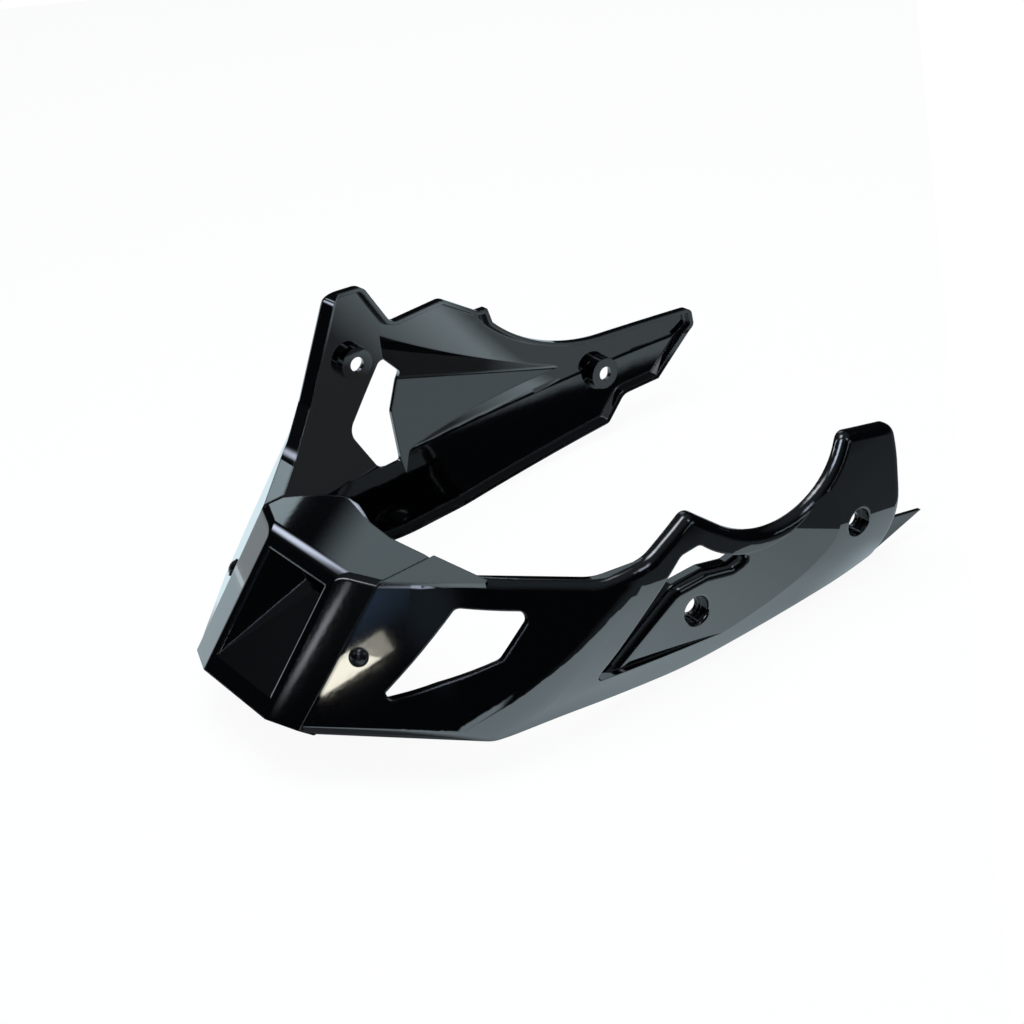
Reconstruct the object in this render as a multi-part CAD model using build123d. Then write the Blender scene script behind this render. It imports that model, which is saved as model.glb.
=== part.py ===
from build123d import *
from math import cos, hypot, radians, sin
import os

# Motorcycle belly pan: a nose cover and two side panels, joined at the nose by two screws.
# Working frame: origin midway between the nose screws, +X to the front, +Y to the left, +Z up.

# General moulding sizes
WALL = 2.8
ROLL = 7.0
FLANGE = 7.6
SEAM_GAP = 0.6
FIT_GAP = 0.3
BIG = 1400

# Nose lines, left half
DECK_Z = 32.5
CREST_TOP = (-17, 37, DECK_Z)
CREST_FOOT = (46.5, 36, -35)
SEAM_TOP = (-27, 64, DECK_Z)
SEAM_FOOT = (38, 59.5, -36)
CREST_R = 8.0
BROW_R = 14.0
CHIN_Z = -44
CHIN_R = 5.0

# Scoop in the nose
BROW_DEPTH = 7.5
SCOOP_SLOPE = 27.5
SCOOP_FOOT = (45, 0, -30)
SCOOP_WALL = (46, 31, -34)
SCOOP_WALL_NORMAL = (0.433, -0.804, 0.408)
MOUTH_X = -21
SCOOP_EDGE_R = 4

# Facets of the side panels, left half
FRONT_TURN = 41
WINDOW_NORMAL = (0.345, 0.81, 0.475)
WINDOW_POINT = (-49, 98, 30.5)
CHIN_NORMAL = (0.545, 0.458, -0.70)
FRONT_SOFT_R = 150
CHINE_R = 33

# Bowed sides
SIDE_Y = 150
SIDE_BOW = 1500
SIDE_BOW_X = -230
LEAN_Z = -5
# Height, radius and turn of the tuck below, then radius and turn of the lean above
LEFT_SIDE = (-20, 95, 55, 110, 45)
RIGHT_SIDE = (-22, 14, 20, 700, 14)

# Right tower front
TOWER_LEAN = 0.52
TOWER_POINT = (-104, SIDE_Y, 33)
TOWER_SOFT_R = 14

# Screws
HEAD_R = 5.6
HEAD_FLANGE = 1.2
HEAD_RISE = 3.2
SHANK_R = 2.4
SHANK_LENGTH = 13
SOCKET_R = 1.75
SOCKET_DEPTH = 2.0
SCREW_XZ = (-2, -1.7)
TAB_THICK = 2.6
TAB_SIZE = 22

# Bolt cups in the side panels
CUP_R = 8.6
CUP_DEPTH = 7.0
CUP_RIM_R = 2.0
BOLT_R = 5.0
LEFT_CUPS = ((-184, -31, True, LEFT_SIDE), (-310, -29, False, LEFT_SIDE))
RIGHT_CUPS = ((-146, 57, False, RIGHT_SIDE), (-340, -29, False, RIGHT_SIDE))

# Pocket and opening in the left side
POCKET_X = -120
POCKET_Y = 139
POCKET_NORMAL = (0.0558, 0.9984, 0)
POCKET_LIP = 12
POCKET_LIP_R = 7

# Deck flap, plan view, and tail fin, side view
FLAP_BACK_X = -64
FLAP_TIP = (-69, 109)
FIN_Y = 130
FIN = ((-334, -69), (-343, -50), (-379, -58))

# Left window, side view, with its corner radii
LEFT_WINDOW = ((-51, 19.5, 5), (-86, 10.5, 4), (-60, -9, 9), (-28, -15, 12), (-4, -21.5, 1), (-4, -18, 1))

# Right panel: tower, window and outward bulge behind it
RIGHT_ROLL = 4.0
RIGHT_FLANGE = 9.0
TOWER_CORNER_R = 22
RIGHT_WINDOW = ((-169, 51, 5), (-135, 8, 12), (-153, -28, 10), (-170, -28, 3), (-176, 2, 8), (-192, 24, 6))
RIDGE_POINT = (-186, 168, 22)
BULGE_TOP_NORMAL = (-0.277, 0.813, 0.512)
BULGE_LOW_NORMAL = (-0.036, 0.924, -0.381)
BULGE_FRONT_X = -170
RIDGE_R = 6

# Rear edge of the nose deck, plan view
DECK_BACK = ((-61, 90), (-61, 59), (-58, 28), (-60, 4), (-67, -19), (-67, -34), (-59, -47), (-34, -69),
             (-20, -90))
CHIN_FRONT_NORMAL = (0.707, 0, -0.707)
CHIN_FLANK_NORMAL = (0.66, 0.2, -0.72)


def vec(v):
    return Vector(*v)


def half(point, normal, inset=0):
    n = vec(normal).normalized()
    face = Plane(origin=vec(point) - n * inset, z_dir=n) * Rectangle(BIG, BIG)
    return extrude(face, amount=-BIG)


def outside(point, normal, grow=0):
    n = vec(normal).normalized()
    return half(point, (-n.X, -n.Y, -n.Z), -grow)


def flip(v):
    return (v[0], -v[1], v[2])


def gap(p, point, normal, inset=0):
    n = vec(normal).normalized()
    return abs((p - vec(point)).dot(n) + inset)


def edges_on(body, *tests):
    found = []
    for e in body.edges():
        if all(t(e @ k) < 0.02 for k in (0.2, 0.5, 0.8) for t in tests):
            found.append(e)
    return found


def front_normal():
    run = vec(SEAM_TOP) - vec(SEAM_FOOT)
    a = radians(FRONT_TURN)
    return (cos(a), sin(a), -(cos(a) * run.X + sin(a) * run.Y) / run.Z)


def flank_normal():
    across = vec(SEAM_TOP) - vec(CREST_TOP)
    down = vec(CREST_FOOT) - vec(CREST_TOP)
    n = down.cross(across).normalized()
    return (n.X, n.Y, n.Z)


def face_normal():
    return (CREST_TOP[2] - CREST_FOOT[2], 0, CREST_FOOT[0] - CREST_TOP[0])


def side_view(face):
    return extrude(Plane.XZ * face, amount=BIG / 2, both=True)


def corner(face, x, z, r):
    v = min(face.vertices(), key=lambda p: hypot(p.X - x, p.Y - z))
    return fillet(v, r)


def seam_at(z, ahead=0):
    k = (SEAM_TOP[0] - SEAM_FOOT[0]) / (SEAM_TOP[2] - SEAM_FOOT[2])
    return SEAM_FOOT[0] + k * (z - SEAM_FOOT[2]) + ahead


def side_round(inset, side):
    """Bowed side wall that tucks under below and leans in above."""
    tuck_z, tuck_r, tuck_turn, lean_r, lean_turn = side
    tuck = CenterArc((SIDE_BOW - tuck_r, tuck_z), tuck_r - inset, 0, -tuck_turn)
    lean = CenterArc((SIDE_BOW - lean_r, LEAN_Z), lean_r - inset, 0, lean_turn)
    flat = Line(tuck @ 0, lean @ 0)
    top = lean @ 1
    foot = tuck @ 1
    low = foot + (tuck % 1) * 80
    rest = Polyline((top.X, top.Y), (0, top.Y), (0, low.Y), (low.X, low.Y), (foot.X, foot.Y))
    body = revolve(Plane.XZ * make_face([tuck, flat, lean, rest]), Axis.Z, 360)
    return Pos(SIDE_BOW_X, SIDE_Y - SIDE_BOW, 0) * body


def one(shape):
    return max(shape.solids(), key=lambda s: s.volume)


def seam_normal():
    run = vec(SEAM_TOP) - vec(SEAM_FOOT)
    return (0, run.Z, -run.Y)


def screw_plane():
    """Plane on the front facet, centred on the screw, its Z along the screw axis."""
    n = front_normal()
    x, z = SCREW_XZ
    y = SEAM_TOP[1] - (n[0] * (x - SEAM_TOP[0]) + n[2] * (z - SEAM_TOP[2])) / n[1]
    return Plane(origin=(x, y, z), x_dir=(-n[1], n[0], 0), z_dir=n)


def rounded(points, r):
    face = make_face(Polyline(*[p[:2] for p in points], close=True))
    for p in points:
        face = corner(face, p[0], p[1], p[2] if len(p) > 2 else r)
    return face


def cup_plane(cup):
    """Plane on the bowed side or a flat floor at a bolt, its Z pointing out of the panel."""
    x, z, floor, side = cup
    tuck_z, tuck_r, tuck_turn, lean_r, _ = side
    if floor:
        n = vec(POCKET_NORMAL).normalized()
        return Plane(origin=(x, POCKET_Y - n.X / n.Y * (x - POCKET_X), z), z_dir=n)
    y = SIDE_Y - SIDE_BOW + (SIDE_BOW ** 2 - (x - SIDE_BOW_X) ** 2) ** 0.5
    a = radians(tuck_turn)
    foot = min(tuck_z - z, tuck_r * sin(a))
    if foot > 0:
        y -= tuck_r - (tuck_r ** 2 - foot ** 2) ** 0.5 + (tuck_z - z - foot) * sin(a) / cos(a)
    if z > LEAN_Z:
        y -= lean_r - (lean_r ** 2 - (z - LEAN_Z) ** 2) ** 0.5
    return Plane(origin=(x, y, z), z_dir=(0, 1, 0))


def cup_tool(plane, grow):
    """Cutter for a flared cup; grown by the wall it makes the cup's outside."""
    r = CUP_R + grow
    low = -CUP_DEPTH - grow
    if grow:
        return plane * Cylinder(r, -low, align=(Align.CENTER, Align.CENTER, Align.MAX))
    flare = JernArc((r, -CUP_RIM_R), (0, 1), CUP_RIM_R, -90)
    rest = Polyline((r + CUP_RIM_R, 0), (r + CUP_RIM_R, 8), (0, 8), (0, low), (r, low), (r, -CUP_RIM_R))
    return plane * revolve(Plane.XZ * make_face([flare, rest]), Axis.Z, 360)


def with_cups(body, outer, planes):
    for plane in planes:
        cut = cup_tool(plane, 0)
        wall = (cup_tool(plane, WALL) - cut) & outer
        body = one((body - cut) + wall)
        body = one(body - plane * Cylinder(BOLT_R, 60))
    return body


def left_core(inset, soft=True):
    spare = 0 if soft else 40
    room = Pos(-160, 100, 0) * Box(560 + spare, 140 + spare, 170 + spare)
    body = one(room & half(SEAM_TOP, front_normal(), inset) & half(WINDOW_POINT, WINDOW_NORMAL, inset))
    on_front = lambda p: gap(p, SEAM_TOP, front_normal(), inset)
    on_window = lambda p: gap(p, WINDOW_POINT, WINDOW_NORMAL, inset)
    on_chin = lambda p: gap(p, SEAM_FOOT, CHIN_NORMAL, inset)
    if soft:
        body = one(fillet(edges_on(body, on_front, on_window), FRONT_SOFT_R - inset))
    body = one(body & side_round(inset, LEFT_SIDE))
    if soft:
        chine = [e for e in edges_on(body, on_window) if (e @ 0.5).Y > 125 and e.geom_type != GeomType.LINE]
        body = one(body.fillet(CHINE_R - inset, chine))
    body = one(body & half(SEAM_FOOT, CHIN_NORMAL, inset))
    if soft:
        chin = [e for e in edges_on(body, on_chin) if (e @ 0.5).Y > 31 and (e @ 0.5).Z > -84]
        body = one(body.fillet(CHIN_R - inset, chin))
    return body


def left_outline(ahead=25):
    top = Polyline((seam_at(-36, ahead), -36), (seam_at(DECK_Z, ahead), DECK_Z), (-62, DECK_Z), (-124, 16),
                   (-154, 19), (-187, 33.5), (-208, 15))
    dip = ThreePointArc((-208, 15), (-257, 0), (-307, 31))
    back = Polyline((-307, 31), (-349, 21), (-349, -28))
    heel = ThreePointArc((-349, -28), (-345.3, -46), (-335, -64))
    rise = ThreePointArc((-335, -64), (-311, -68.6), (-285, -70))
    foot = Polyline((-285, -70), (-180, -70), (-85, -54.5), (47 + ahead, -39), (seam_at(-36, ahead), -36))
    face = make_face([top, dip, back, heel, rise, foot])
    for x, z, r in ((-124, 16, 30), (-154, 19, 25), (-187, 33.5, 8), (-208, 15, 14), (-307, 31, 8),
                    (-349, 21, 10), (-62, DECK_Z, 30), (-180, -70, 250), (-85, -54.5, 400)):
        face = corner(face, x, z, r)
    return face


def rolled(body, r, keep):
    """Rounds the edge between the skin and the outline walls that keep() picks."""
    walls = []
    for f in body.faces():
        if abs(f.normal_at(f.center()).Y) < 1e-4:
            walls += [e for e in f.edges()]
    skins = []
    for f in body.faces():
        if abs(f.normal_at(f.center()).Y) >= 1e-4 and abs(f.center().Y) > 45:
            skins += [e for e in f.edges()]
    shared = [e for e in skins if any(e.is_same(w) for w in walls)]
    return one(body.fillet(r, [e for e in shared if keep(e @ 0.5)]))


def left_block(inset):
    core = left_core(inset)
    face = left_outline()
    if inset:
        face = offset(face, amount=-inset)
    body = one(core & side_view(face))
    return rolled(body, ROLL - inset, lambda p: p.X < 15 and (p.Z > 1 or p.X < -334))


def pocket_outline():
    low = Polyline((-285, 8), (-312, -10), (-300, -64), (-245, -63), (-190, -52), (-104, -40), (-117, -30),
                   (-173, 13.5), (-187, 14.5))
    dip = ThreePointArc((-187, 14.5), (-240, -9), (-285, 8))
    face = make_face([low, dip])
    for x, z, r in ((-104, -40, 3), (-117, -30, 12), (-173, 13.5, 8), (-187, 14.5, 5)):
        face = corner(face, x, z, r)
    return face


def opening_outline():
    points = ((-106, -42, 0.5), (-124, -39, 1), (-171, -10, 14), (-194, -9, 12), (-212, -13, 5), (-222, -11, 3),
              (-216, 1, 4), (-190, 30, 1), (-150, 30, 1))
    return rounded(points, 1)


def pocket_tool(grow):
    """Room of the pocket with its opening, grown by the wall for its outside."""
    n = vec(POCKET_NORMAL).normalized()
    spot = vec((POCKET_X, POCKET_Y, 0)) - n * grow
    floor = Pos(-200, 100, -20) * Box(300, 120, 140) & half(spot, POCKET_NORMAL)
    gate = opening_outline()
    room = pocket_outline()
    if grow:
        gate = offset(gate, amount=grow)
        room = offset(room, amount=grow)
    floor = one(floor - side_view(gate))
    on_floor = lambda p: gap(p, spot, POCKET_NORMAL)
    lip = [e for e in edges_on(floor, on_floor) if -213 < (e @ 0.5).X < -112 and -41 < (e @ 0.5).Z < 0]
    floor = one(fillet(lip, POCKET_LIP_R - grow))
    zone = side_view(room) & outside(spot, POCKET_NORMAL, POCKET_LIP - grow)
    return one(zone - floor)


def screw_hole(body):
    return one(body - screw_plane() * Cylinder(SHANK_R + FIT_GAP, 30))


def left_panel():
    outer = left_block(0)
    body = one(outer - left_block(WALL))
    body = one(body - left_core(FLANGE, False))
    cut = pocket_tool(0)
    body = one((body - cut) + ((pocket_tool(WALL) - cut) & outer))
    flap = Polyline(SEAM_TOP[:2], (FLAP_BACK_X, SEAM_TOP[1]), FLAP_TIP, (-66, 111), close=True)
    body = one(body + Pos(0, 0, DECK_Z) * extrude(make_face(flap), amount=-WALL))
    fin = Plane.XZ.offset(-FIN_Y) * make_face(Polyline(*FIN, close=True))
    body = one(body + extrude(fin, amount=WALL))
    window = extrude(Plane.XZ * rounded(LEFT_WINDOW, 1), amount=-BIG / 2)
    body = one(body - window)
    body = with_cups(body, outer, [cup_plane(c) for c in LEFT_CUPS])
    body = one(body & outside(SEAM_TOP, seam_normal(), -SEAM_GAP / 2))
    return screw_hole(body)


def tower_normal():
    a = radians(FRONT_TURN)
    return (cos(a), sin(a), TOWER_LEAN * cos(a))


def right_core(inset, soft=True):
    spare = 0 if soft else 40
    room = Pos(-190, 105, 20) * Box(560 + spare, 150 + spare, 230 + spare)
    front = half(SEAM_TOP, front_normal(), inset) + half(TOWER_POINT, tower_normal(), inset)
    body = one(room & front)
    on_front = lambda p: gap(p, SEAM_TOP, front_normal(), inset)
    on_tower = lambda p: gap(p, TOWER_POINT, tower_normal(), inset)
    on_chin = lambda p: gap(p, SEAM_FOOT, CHIN_NORMAL, inset)
    if soft:
        body = one(fillet(edges_on(body, on_front, on_tower), TOWER_SOFT_R + inset))
    body = one(body & side_round(inset, RIGHT_SIDE))
    if soft:
        corner_edges = [e for e in body.edges() if abs((e @ 0.5).Y) > 135 and (e @ 0.5).X > -165
                        and -80 < (e @ 0.5).Z < 125]
        body = one(body.fillet(TOWER_CORNER_R - inset, corner_edges))
    body = one(body & half(SEAM_FOOT, CHIN_NORMAL, inset))
    if soft:
        chin = [e for e in edges_on(body, on_chin) if (e @ 0.5).Y > 31 and (e @ 0.5).Z > -84]
        body = one(body.fillet(CHIN_R - inset, chin))
    return body


def right_outline(ahead=25):
    top = Polyline((seam_at(-36, ahead), -36), (seam_at(DECK_Z, ahead), DECK_Z), (-70, 34), (-97, 52),
                   (-126, 113), (-158, 109), (-177, 74), (-219, 74.5), (-246, 55), (-253, 54.5), (-256, 43))
    sweep = TangentArc((-345, -1.2), (-256, 43), tangent=(74, 5.3))
    tail = Polyline((-345, -1.2), (-419, -6.5), (-420, -20.5), (-379.5, -46), (-349, -47), (-330, -61))
    foot = Polyline((-330, -61), (-200, -70), (-150, -70), (47 + ahead, -39), (seam_at(-36, ahead), -36))
    face = make_face([top, sweep, tail, foot])
    for x, z, r in ((-70, 34, 20), (-126, 113, 6), (-158, 109, 9), (-177, 74, 9), (-219, 74.5, 8), (-246, 55, 6),
                    (-419, -6.5, 5), (-420, -20.5, 5), (-349, -47, 12), (-330, -61, 6), (-200, -70, 200), (-150, -70, 200)):
        face = corner(face, x, z, r)
    return face


def bulge(inset):
    room = Pos(-250, 130, 10) * Box(240, 120, 160)
    body = one(room & half(RIDGE_POINT, BULGE_TOP_NORMAL, inset) & half(RIDGE_POINT, BULGE_LOW_NORMAL, inset))
    on_top = lambda p: gap(p, RIDGE_POINT, BULGE_TOP_NORMAL, inset)
    on_low = lambda p: gap(p, RIDGE_POINT, BULGE_LOW_NORMAL, inset)
    body = one(fillet(edges_on(body, on_top, on_low), RIDGE_R - inset))
    inside = side_view(offset(right_outline(), amount=-inset - RIGHT_ROLL))
    return one(body & half((BULGE_FRONT_X, 0, 0), (1, 0, 0)) & inside)


def right_rim(p):
    """Top and tail edges that are rolled, without the small step in the top edge."""
    return p.X < -98 and not -256 < p.X < -253 and (p.Z > -20 or p.X < -334) and p.Z > -45


def right_block(inset):
    face = right_outline()
    if inset:
        face = offset(face, amount=-inset)
    body = one(right_core(inset) & side_view(face))
    return rolled(body, RIGHT_ROLL - inset, right_rim)


def right_panel():
    """Built on the left like its twin, then mirrored."""
    outer = one(right_block(0) + bulge(0))
    body = one(outer - (right_block(WALL) + bulge(WALL)))
    body = one(body - right_core(RIGHT_FLANGE, False))
    body = one(body - extrude(Plane.XZ * rounded(RIGHT_WINDOW, 1), amount=-BIG / 2))
    body = with_cups(body, outer, [cup_plane(c) for c in RIGHT_CUPS])
    body = one(body & outside(SEAM_TOP, seam_normal(), -SEAM_GAP / 2))
    return mirror(screw_hole(body), about=Plane.XZ)


def nose_core(inset, soft=True):
    drop = 30 if inset else 0
    low = CHIN_Z - drop
    room = Pos(0, 0, low) * Box(160, 150, 60 - low, align=(Align.CENTER, Align.CENTER, Align.MIN))
    deck = ((0, 0, DECK_Z), (0, 0, 1))
    face = (CREST_TOP, face_normal())
    flank = (CREST_TOP, flank_normal())
    other = (flip(CREST_TOP), flip(flank_normal()))
    body = room
    for point, normal in (deck, face, flank, other):
        body = one(body & half(point, normal, inset))
    if soft:
        on = lambda plane: lambda p: gap(p, *plane, inset)
        body = one(body.fillet(BROW_R - inset, edges_on(body, on(deck), on(face))))
        crests = edges_on(body, on(face), on(flank)) + edges_on(body, on(face), on(other))
        body = one(body.fillet(CREST_R - inset, crests))
    chin = ((CREST_FOOT, CHIN_FRONT_NORMAL), (CREST_FOOT, CHIN_FLANK_NORMAL),
            (flip(CREST_FOOT), flip(CHIN_FLANK_NORMAL)))
    for point, normal in chin:
        body = one(body & half(point, normal, inset))
    return body


def scoop_tool(grow):
    a = radians(SCOOP_SLOPE)
    room = Pos(20, 0, 0) * Box(140, 120, 120)
    body = room & outside(SCOOP_FOOT, (sin(a), 0, cos(a)), grow)
    body = body & outside(SCOOP_WALL, SCOOP_WALL_NORMAL, grow)
    body = body & outside(flip(SCOOP_WALL), flip(SCOOP_WALL_NORMAL), grow)
    body = body & half((0, 0, DECK_Z - BROW_DEPTH + grow), (0, 0, 1))
    return one(body & outside((MOUTH_X, 0, 0), (1, 0, 0), grow))


def scooped_nose():
    """Outside of the nose with the scoop cut in, the scoop's edges softened."""
    body = one(nose_core(0) - scoop_tool(0))
    on_face = lambda p: gap(p, CREST_TOP, face_normal())
    on_wall = lambda p: gap(p, SCOOP_WALL, SCOOP_WALL_NORMAL)
    on_other = lambda p: gap(p, flip(SCOOP_WALL), flip(SCOOP_WALL_NORMAL))
    rims = edges_on(body, on_face, on_wall) + edges_on(body, on_face, on_other)
    return one(body.fillet(SCOOP_EDGE_R, rims))


def nose_tab():
    """Ear of the nose behind the side panel's front facet, for the screw."""
    ear = Pos(-4, 0, -WALL - FIT_GAP) * Box(TAB_SIZE + 12, TAB_SIZE, TAB_THICK, align=(
        Align.CENTER, Align.CENTER, Align.MAX))
    return one(screw_plane() * ear & half(CREST_TOP, flank_normal(), 0.5))


def nose_cover():
    body = one(scooped_nose() - (nose_core(WALL) - scoop_tool(WALL)))
    plan = make_face(Polyline((90, 90), *DECK_BACK, (90, -90), close=True))
    body = one(body & extrude(plan, amount=120, both=True))
    body = one(body & half(SEAM_TOP, seam_normal(), SEAM_GAP / 2))
    body = one(body & half(flip(SEAM_TOP), flip(seam_normal()), SEAM_GAP / 2))
    tab = nose_tab()
    body = screw_hole(one(body + tab + mirror(tab, about=Plane.XZ)))
    return mirror(screw_hole(mirror(body, about=Plane.XZ)), about=Plane.XZ)


def nose_screw():
    """Flanged button head with a hexagon socket, its shank down the screw axis."""
    k = HEAD_R - 0.8
    rise = HEAD_RISE - HEAD_FLANGE
    ball = (k * k + rise * rise) / (2 * rise)
    low = HEAD_RISE - ball
    dome = ThreePointArc((k, HEAD_FLANGE), (k / 2, low + (ball ** 2 - k * k / 4) ** 0.5), (0, HEAD_RISE))
    rest = Polyline((0, HEAD_RISE), (0, -SHANK_LENGTH), (SHANK_R - 0.5, -SHANK_LENGTH), (SHANK_R, 0.5 - SHANK_LENGTH),
                    (SHANK_R, 0), (HEAD_R, 0), (HEAD_R, HEAD_FLANGE), (k, HEAD_FLANGE))
    body = revolve(Plane.XZ * make_face([dome, rest]), Axis.Z, 360)
    socket = Pos(0, 0, HEAD_RISE) * extrude(RegularPolygon(SOCKET_R, 6), amount=-SOCKET_DEPTH)
    return one(screw_plane() * one(body - socket))


def screw_pair():
    screw = nose_screw()
    return Compound([screw, one(mirror(screw, about=Plane.XZ))])


def main():
    parts = {
        "nose_cover": nose_cover(),
        "left_side_panel": left_panel(),
        "right_side_panel": right_panel(),
        "nose_screws": screw_pair(),
    }
    boxes = [shape.bounding_box() for shape in parts.values()]
    x_mid = (min(b.min.X for b in boxes) + max(b.max.X for b in boxes)) / 2
    y_mid = (min(b.min.Y for b in boxes) + max(b.max.Y for b in boxes)) / 2
    z_low = min(b.min.Z for b in boxes)
    os.makedirs("parts", exist_ok=True)
    for name, shape in parts.items():
        export_step(Pos(-x_mid, -y_mid, -z_low) * shape, "parts/" + name + ".step")


if __name__ == "__main__":
    main()
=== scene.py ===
import bpy
import math
from mathutils import Matrix, Vector

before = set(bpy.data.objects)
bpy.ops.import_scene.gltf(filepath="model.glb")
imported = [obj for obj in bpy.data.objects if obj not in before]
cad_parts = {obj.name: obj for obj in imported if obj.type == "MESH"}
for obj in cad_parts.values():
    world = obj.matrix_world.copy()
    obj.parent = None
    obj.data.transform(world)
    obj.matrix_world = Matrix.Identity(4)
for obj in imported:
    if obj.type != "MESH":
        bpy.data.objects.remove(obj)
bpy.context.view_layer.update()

# The photograph's camera: where it stands, what it looks at and how far it leans.
EYE = Vector((0.593336, 0.914144, 0.674660))
VIEW_RIGHT = Vector((-0.794129, 0.591398, -0.140026))
VIEW_UP = Vector((-0.397355, -0.330910, 0.855925))
VIEW_AHEAD = Vector((-0.459856, -0.735355, -0.497780))
FOCAL_PIXELS = 2000
IMAGE_PIXELS = 1024
SENSOR_MM = 36

# The table top, in metres. It lies just under the pan's feet.
TABLE_SPOT = (1.216, -1.428, -0.0005)
TABLE_SIZE = (2.7, 4.26, 1)
TABLE_TURN = math.radians(45)
TABLE_GLOW_SHARE = 0.94  # the rest is plain paint, which keeps the pan's shadow

# Spots on the pan that lamps are aimed at.
MIDDLE = (0, 0, 0.07)
BROW = (0.168, 0.0, 0.102)
CREST = (0.19, 0.045, 0.08)
CREST_FRONT = (0.193, 0.051, 0.075)
FACET_TOP = (0.155, 0.085, 0.1)
LEFT_ROLL = (0.02, 0.15, 0.09)
CHINE = (0.15, 0.14, 0.02)
FAR_PANEL = (-0.11, -0.135, 0.05)
NOSE_FLANK = (0.2, -0.04, 0.06)

# Lamp colours that are used more than once.
DAYLIGHT = "#f2f7ff"
WALL = "#d3e8f0"
SKY = "#dfe9ff"
CARD = "#d8ebf4"


def linear(hex_colour):
    """An sRGB hex colour as linear RGBA."""
    out = []
    for i in (1, 3, 5):
        c = int(hex_colour[i:i + 2], 16) / 255
        out.append(c / 12.92 if c <= 0.04045 else ((c + 0.055) / 1.055) ** 2.4)
    return (*out, 1.0)


def node(tree, kind, links=None, **settings):
    """Adds one node: settings named like sockets or properties, links as {input: output socket}."""
    n = tree.nodes.new(kind)
    for key, value in settings.items():
        if hasattr(n, key):
            setattr(n, key, value)
        else:
            n.inputs[key.replace("_", " ")].default_value = value
    for key, source in (links or {}).items():
        tree.links.new(source, n.inputs[key])
    return n


def new_material(name):
    """A material with an empty node tree, and that tree."""
    m = bpy.data.materials.new(name)
    m.use_nodes = True
    m.node_tree.nodes.clear()
    return m, m.node_tree


def black_lacquered_abs():
    """Injection-moulded ABS with a polished black lacquer: a deep mirror gloss with a faint orange peel."""
    m, t = new_material("black_lacquered_abs")
    place = node(t, "ShaderNodeTexCoord")
    peel = node(t, "ShaderNodeTexNoise", {"Vector": place.outputs["Object"]}, Scale=220.0, Detail=2.0)
    haze = node(t, "ShaderNodeTexNoise", {"Vector": place.outputs["Object"]}, Scale=14.0, Detail=3.0)
    rough = node(t, "ShaderNodeMapRange", {"Value": haze.outputs["Fac"]}, To_Min=0.02, To_Max=0.05)
    arris = node(t, "ShaderNodeBevel", samples=6, Radius=0.0014)
    bump = node(t, "ShaderNodeBump", {"Height": peel.outputs["Fac"], "Normal": arris.outputs["Normal"]},
                Strength=0.015, Distance=0.0004)
    skin = node(t, "ShaderNodeBsdfPrincipled",
                {"Roughness": rough.outputs["Result"], "Normal": bump.outputs["Normal"]},
                Base_Color=linear("#020203"), IOR=1.54, Specular_IOR_Level=0.9,
                Coat_Weight=1.0, Coat_Roughness=0.012, Coat_IOR=1.8)
    node(t, "ShaderNodeOutputMaterial", {"Surface": skin.outputs["BSDF"]})
    return m


def black_oxide_steel():
    """Blackened steel screw: dark, with a satin sheen that is uneven where the driver has been."""
    m, t = new_material("black_oxide_steel")
    place = node(t, "ShaderNodeTexCoord")
    wear = node(t, "ShaderNodeTexNoise", {"Vector": place.outputs["Object"]}, Scale=900.0, Detail=3.0)
    rough = node(t, "ShaderNodeMapRange", {"Value": wear.outputs["Fac"]}, To_Min=0.14, To_Max=0.24)
    skin = node(t, "ShaderNodeBsdfPrincipled", {"Roughness": rough.outputs["Result"]},
                Base_Color=linear("#0c0d0f"), IOR=1.6)
    node(t, "ShaderNodeOutputMaterial", {"Surface": skin.outputs["BSDF"]})
    return m


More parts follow.
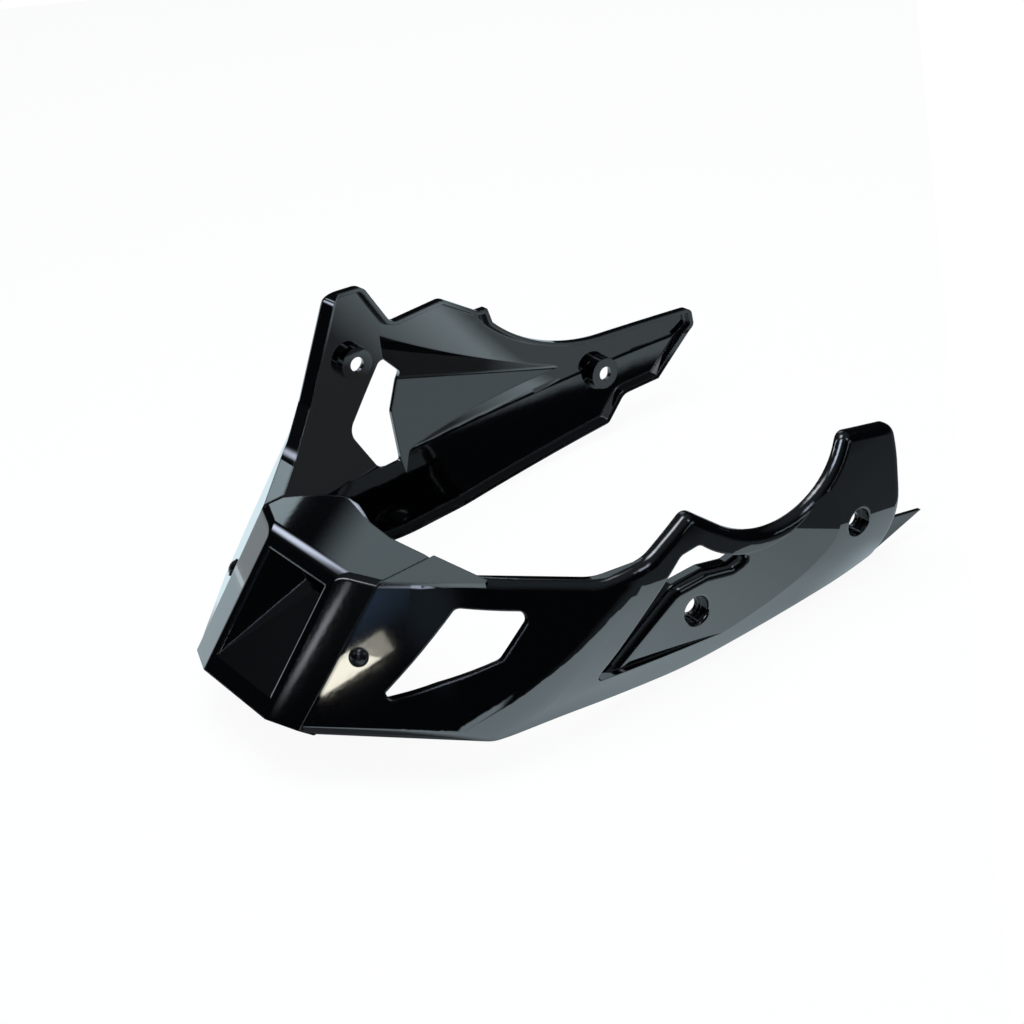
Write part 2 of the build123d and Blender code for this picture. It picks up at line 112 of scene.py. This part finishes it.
def white_table():
    """White table top: plain white to the eye. In the gloss it has a painted cool tint and painted shade: it dims
    towards the tail next to the pan, and inside the pan's two sides it is darkened in place of the pan's own shadow.
    """
    m, t = new_material("white_table")
    path = node(t, "ShaderNodeLightPath")
    place = node(t, "ShaderNodeTexCoord")
    spot = node(t, "ShaderNodeSeparateXYZ", {"Vector": place.outputs["Object"]})
    # Painted shade in the gloss: next to the pan the table dims towards the tail.
    painted_shade_beside = node(t, "ShaderNodeMapRange", {"Value": spot.outputs["X"]}, From_Min=-0.12, From_Max=0.05,
                  To_Min=0.6, To_Max=1.0)
    # Painted shade in the gloss, in place of the pan's own shadow: inside its sides the table is nearly black at the
    # nose, white near the tail and dim again behind it.
    rise = node(t, "ShaderNodeMapRange", {"Value": spot.outputs["X"]}, From_Min=-0.145, From_Max=-0.08,
                To_Min=1.0, To_Max=0.04)
    drop = node(t, "ShaderNodeMapRange", {"Value": spot.outputs["X"]}, From_Min=-0.165, From_Max=-0.15,
                To_Min=0.3, To_Max=1.0)
    painted_shade_between = node(t, "ShaderNodeMath", {0: rise.outputs["Result"], 1: drop.outputs["Result"]},
                   operation="MULTIPLY")
    out = node(t, "ShaderNodeMath", {0: spot.outputs["Y"]}, operation="ABSOLUTE")
    side = node(t, "ShaderNodeMapRange", {"Value": out.outputs[0]}, From_Min=0.12, From_Max=0.16)
    # Painted shade for the gloss: the inner shade within the pan's sides, the outer dimming past them.
    shade = node(t, "ShaderNodeMix", {"Factor": side.outputs["Result"], "A": painted_shade_between.outputs[0],
                                      "B": painted_shade_beside.outputs["Result"]})
    plain = node(t, "ShaderNodeMix", {"Factor": path.outputs["Is Camera Ray"], "A": shade.outputs["Result"]},
                 B=1.0)
    seen = node(t, "ShaderNodeMath", {0: path.outputs["Is Camera Ray"], 1: path.outputs["Is Glossy Ray"]},
                operation="MAXIMUM")
    share = node(t, "ShaderNodeMath", {0: seen.outputs[0]}, operation="MULTIPLY")
    share.inputs[1].default_value = TABLE_GLOW_SHARE
    # A painted cool tint on the table as the gloss sees it; white to the camera.
    tint = node(t, "ShaderNodeMix", {"Factor": path.outputs["Is Camera Ray"]}, data_type="RGBA")
    tint.inputs["A"].default_value = linear("#daeef6")
    tint.inputs["B"].default_value = linear("#ffffff")
    glow = node(t, "ShaderNodeEmission", {"Color": tint.outputs["Result"], "Strength": plain.outputs["Result"]})
    paint = node(t, "ShaderNodeBsdfDiffuse", Color=linear("#f6f6f6"))
    mix = node(t, "ShaderNodeMixShader", {"Fac": share.outputs[0], 1: paint.outputs["BSDF"],
                                          2: glow.outputs["Emission"]})
    node(t, "ShaderNodeOutputMaterial", {"Surface": mix.outputs["Shader"]})
    return m


def studio_world():
    """The room: plain white to the camera. In the gloss it is dark, dimly lit overhead and below the horizon."""
    world = bpy.data.worlds.new("studio")
    world.use_nodes = True
    t = world.node_tree
    t.nodes.clear()
    path = node(t, "ShaderNodeLightPath")
    place = node(t, "ShaderNodeTexCoord")
    way = node(t, "ShaderNodeSeparateXYZ", {"Vector": place.outputs["Generated"]})
    above = node(t, "ShaderNodeMapRange", {"Value": way.outputs["Z"]}, From_Min=0.5, From_Max=0.9,
                 To_Min=0.012, To_Max=0.14)
    below = node(t, "ShaderNodeMapRange", {"Value": way.outputs["Z"]}, From_Min=-0.22, From_Max=-0.02,
                 To_Min=0.12, To_Max=0.0)
    both = node(t, "ShaderNodeMath", {0: above.outputs["Result"], 1: below.outputs["Result"]}, operation="ADD")
    dim = node(t, "ShaderNodeBackground", {"Strength": both.outputs[0]}, Color=linear("#b9c9d4"))
    white = node(t, "ShaderNodeBackground", Color=linear("#ffffff"), Strength=1.0)
    mix = node(t, "ShaderNodeMixShader", {"Fac": path.outputs["Is Camera Ray"], 1: dim.outputs["Background"],
                                          2: white.outputs["Background"]})
    node(t, "ShaderNodeOutputWorld", {"Surface": mix.outputs["Shader"]})
    return world


def softbox(name, spot, azimuth, elevation, distance, width, height, radiance, colour=DAYLIGHT, roll=0,
            shift=(0, 0), fade=0.4):
    """A lamp with a soft rim, seen from a spot on the pan along azimuth and elevation, shifted right and up there.

    Angles are in degrees and lengths in metres. The fade is the share of the lamp that the soft rim takes.
    """
    a, e = math.radians(azimuth), math.radians(elevation)
    way = Vector((math.cos(e) * math.cos(a), math.cos(e) * math.sin(a), math.sin(e)))
    lamp = bpy.data.lights.new(name, "AREA")
    lamp.shape = "RECTANGLE"
    lamp.size = width
    lamp.size_y = height
    lamp.energy = radiance * math.pi * width * height
    lamp.color = linear(colour)[:3]
    lamp.use_nodes = True
    t = lamp.node_tree
    t.nodes.clear()
    face = node(t, "ShaderNodeNewGeometry")
    split = node(t, "ShaderNodeSeparateXYZ", {"Vector": face.outputs["Parametric"]})
    half = 0.5  # the lamp's face runs from 0 to 1 each way
    rims = []
    for axis in ("X", "Y"):
        off = node(t, "ShaderNodeMath", {0: split.outputs[axis]}, operation="SUBTRACT")
        off.inputs[1].default_value = half
        far = node(t, "ShaderNodeMath", {0: off.outputs[0]}, operation="ABSOLUTE")
        rims.append(node(t, "ShaderNodeMapRange", {"Value": far.outputs[0]}, interpolation_type="SMOOTHSTEP",
                         From_Min=half - half * fade, From_Max=half, To_Min=1.0, To_Max=0.0))
    both = node(t, "ShaderNodeMath", {0: rims[0].outputs[0], 1: rims[1].outputs[0]}, operation="MULTIPLY")
    shine = node(t, "ShaderNodeEmission", {"Strength": both.outputs[0]})
    node(t, "ShaderNodeOutputLight", {"Surface": shine.outputs["Emission"]})
    o = bpy.data.objects.new(name, lamp)
    bpy.context.collection.objects.link(o)
    turn = (-way).to_track_quat("-Z", "Y").to_matrix().to_4x4()
    place = Matrix.Translation(Vector(spot) + way * distance) @ turn @ Matrix.Translation((-shift[0], shift[1], 0))
    o.matrix_world = place @ Matrix.Rotation(math.radians(roll), 4, "Z")
    o.visible_camera = False
    return o


lacquer = black_lacquered_abs()
oxide = black_oxide_steel()
for name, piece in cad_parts.items():
    piece.data.materials.clear()
    piece.data.materials.append(oxide if name == "nose_screws" else lacquer)

# The table stands askew under the pan, so its left edge shows in the gloss of the tower.
bpy.ops.object.select_all(action="DESELECT")
bpy.ops.mesh.primitive_plane_add(size=1, location=TABLE_SPOT, rotation=(0, 0, TABLE_TURN))
floor = bpy.context.object
floor.scale = TABLE_SIZE
bpy.ops.object.transform_apply(location=True, rotation=True, scale=True)
floor.name = "floor"
floor.data.materials.append(white_table())

bpy.context.scene.world = studio_world()

# Overhead: one lamp for the table's paint, which the gloss doesn't show, and one for the gloss.
top = softbox("top_soft", MIDDLE, azimuth=0, elevation=88, distance=1.6, width=1.6, height=1.2,
              radiance=5.0, fade=0.1)
top.visible_glossy = False
softbox("ceiling", MIDDLE, azimuth=-62, elevation=82, distance=2.2, width=1.7, height=1.2,
        radiance=4.0, fade=1.0)

# The wall behind the pan, which the deck and the flap mirror in two parts with a dark gap.
softbox("wall_high", MIDDLE, azimuth=-117, elevation=30, distance=3.0, width=1.6, height=1.1,
        radiance=0.5, colour=WALL, roll=45, shift=(0.3, 0.3), fade=0.18)
softbox("wall_low", MIDDLE, azimuth=-117, elevation=30, distance=3.0, width=0.6, height=0.1,
        radiance=1.15, colour=WALL, roll=45, shift=(-0.166, -0.166), fade=0.2)

# The edges of the nose: the brow over the scoop, and the left crest.
softbox("brow_lamp", BROW, azimuth=-95, elevation=37, distance=2.5, width=1.4, height=0.36,
        radiance=3.6, colour=SKY, fade=0.9)
softbox("crest_lamp", CREST, azimuth=-39, elevation=42, distance=2.5, width=0.3, height=0.9,
        radiance=3.4, fade=0.8)
softbox("crest_strip", CREST_FRONT, azimuth=-24.1, elevation=31.7, distance=3.0, width=0.02, height=0.4,
        radiance=1.3, roll=12.7, fade=0.9)

# The front facet: its top edge, the warm band at the screw and the blue haze around that.
softbox("front_top", FACET_TOP, azimuth=28, elevation=56, distance=2.5, width=1.2, height=1.6,
        radiance=4.4, colour="#dbe8ff", fade=0.8)
softbox("facet_strip", MIDDLE, azimuth=19, elevation=30.5, distance=3.0, width=0.18, height=0.05,
        radiance=6.0, colour="#fffbea", roll=45, shift=(0.008, -0.112), fade=0.15)
softbox("facet_glow", MIDDLE, azimuth=19, elevation=30.5, distance=3.0, width=0.6, height=0.2,
        radiance=0.36, colour="#86b4e8", roll=45, shift=(0.07, -0.03), fade=1.0)
softbox("facet_sky", MIDDLE, azimuth=19, elevation=30.5, distance=3.0, width=2.2, height=0.3,
        radiance=0.09, colour="#9fbdd8", shift=(-0.6, 0.06), fade=0.8)

# The left panel's rolled top edge, the inside of the far panel, the chine and the nose's right flank.
softbox("roll_lamp", LEFT_ROLL, azimuth=116, elevation=46, distance=2.0, width=0.5, height=1.0,
        radiance=2.2, colour=SKY, fade=1.0)
softbox("left_card", FAR_PANEL, azimuth=113.5, elevation=13.2, distance=1.5, width=0.56, height=0.28,
        radiance=0.5, colour=CARD, fade=0.12)
softbox("chine_card", CHINE, azimuth=68, elevation=2.5, distance=2.0, width=0.9, height=0.44,
        radiance=1.0, colour=CARD, fade=0.5)
softbox("right_card", NOSE_FLANK, azimuth=-82, elevation=4, distance=2.5, width=1.8, height=1.0,
        radiance=0.6, colour="#e8f2f8", fade=0.4)

camera = bpy.data.cameras.new("photo_camera")
camera.sensor_fit = "HORIZONTAL"
camera.sensor_width = SENSOR_MM
camera.lens = SENSOR_MM * FOCAL_PIXELS / IMAGE_PIXELS
eye = bpy.data.objects.new("photo_camera", camera)
bpy.context.collection.objects.link(eye)
turn = Matrix((VIEW_RIGHT, VIEW_UP, -VIEW_AHEAD)).transposed().to_4x4()
eye.matrix_world = Matrix.Translation(EYE) @ turn
bpy.context.scene.camera = eye
bpy.context.scene.view_settings.view_transform = "Standard"
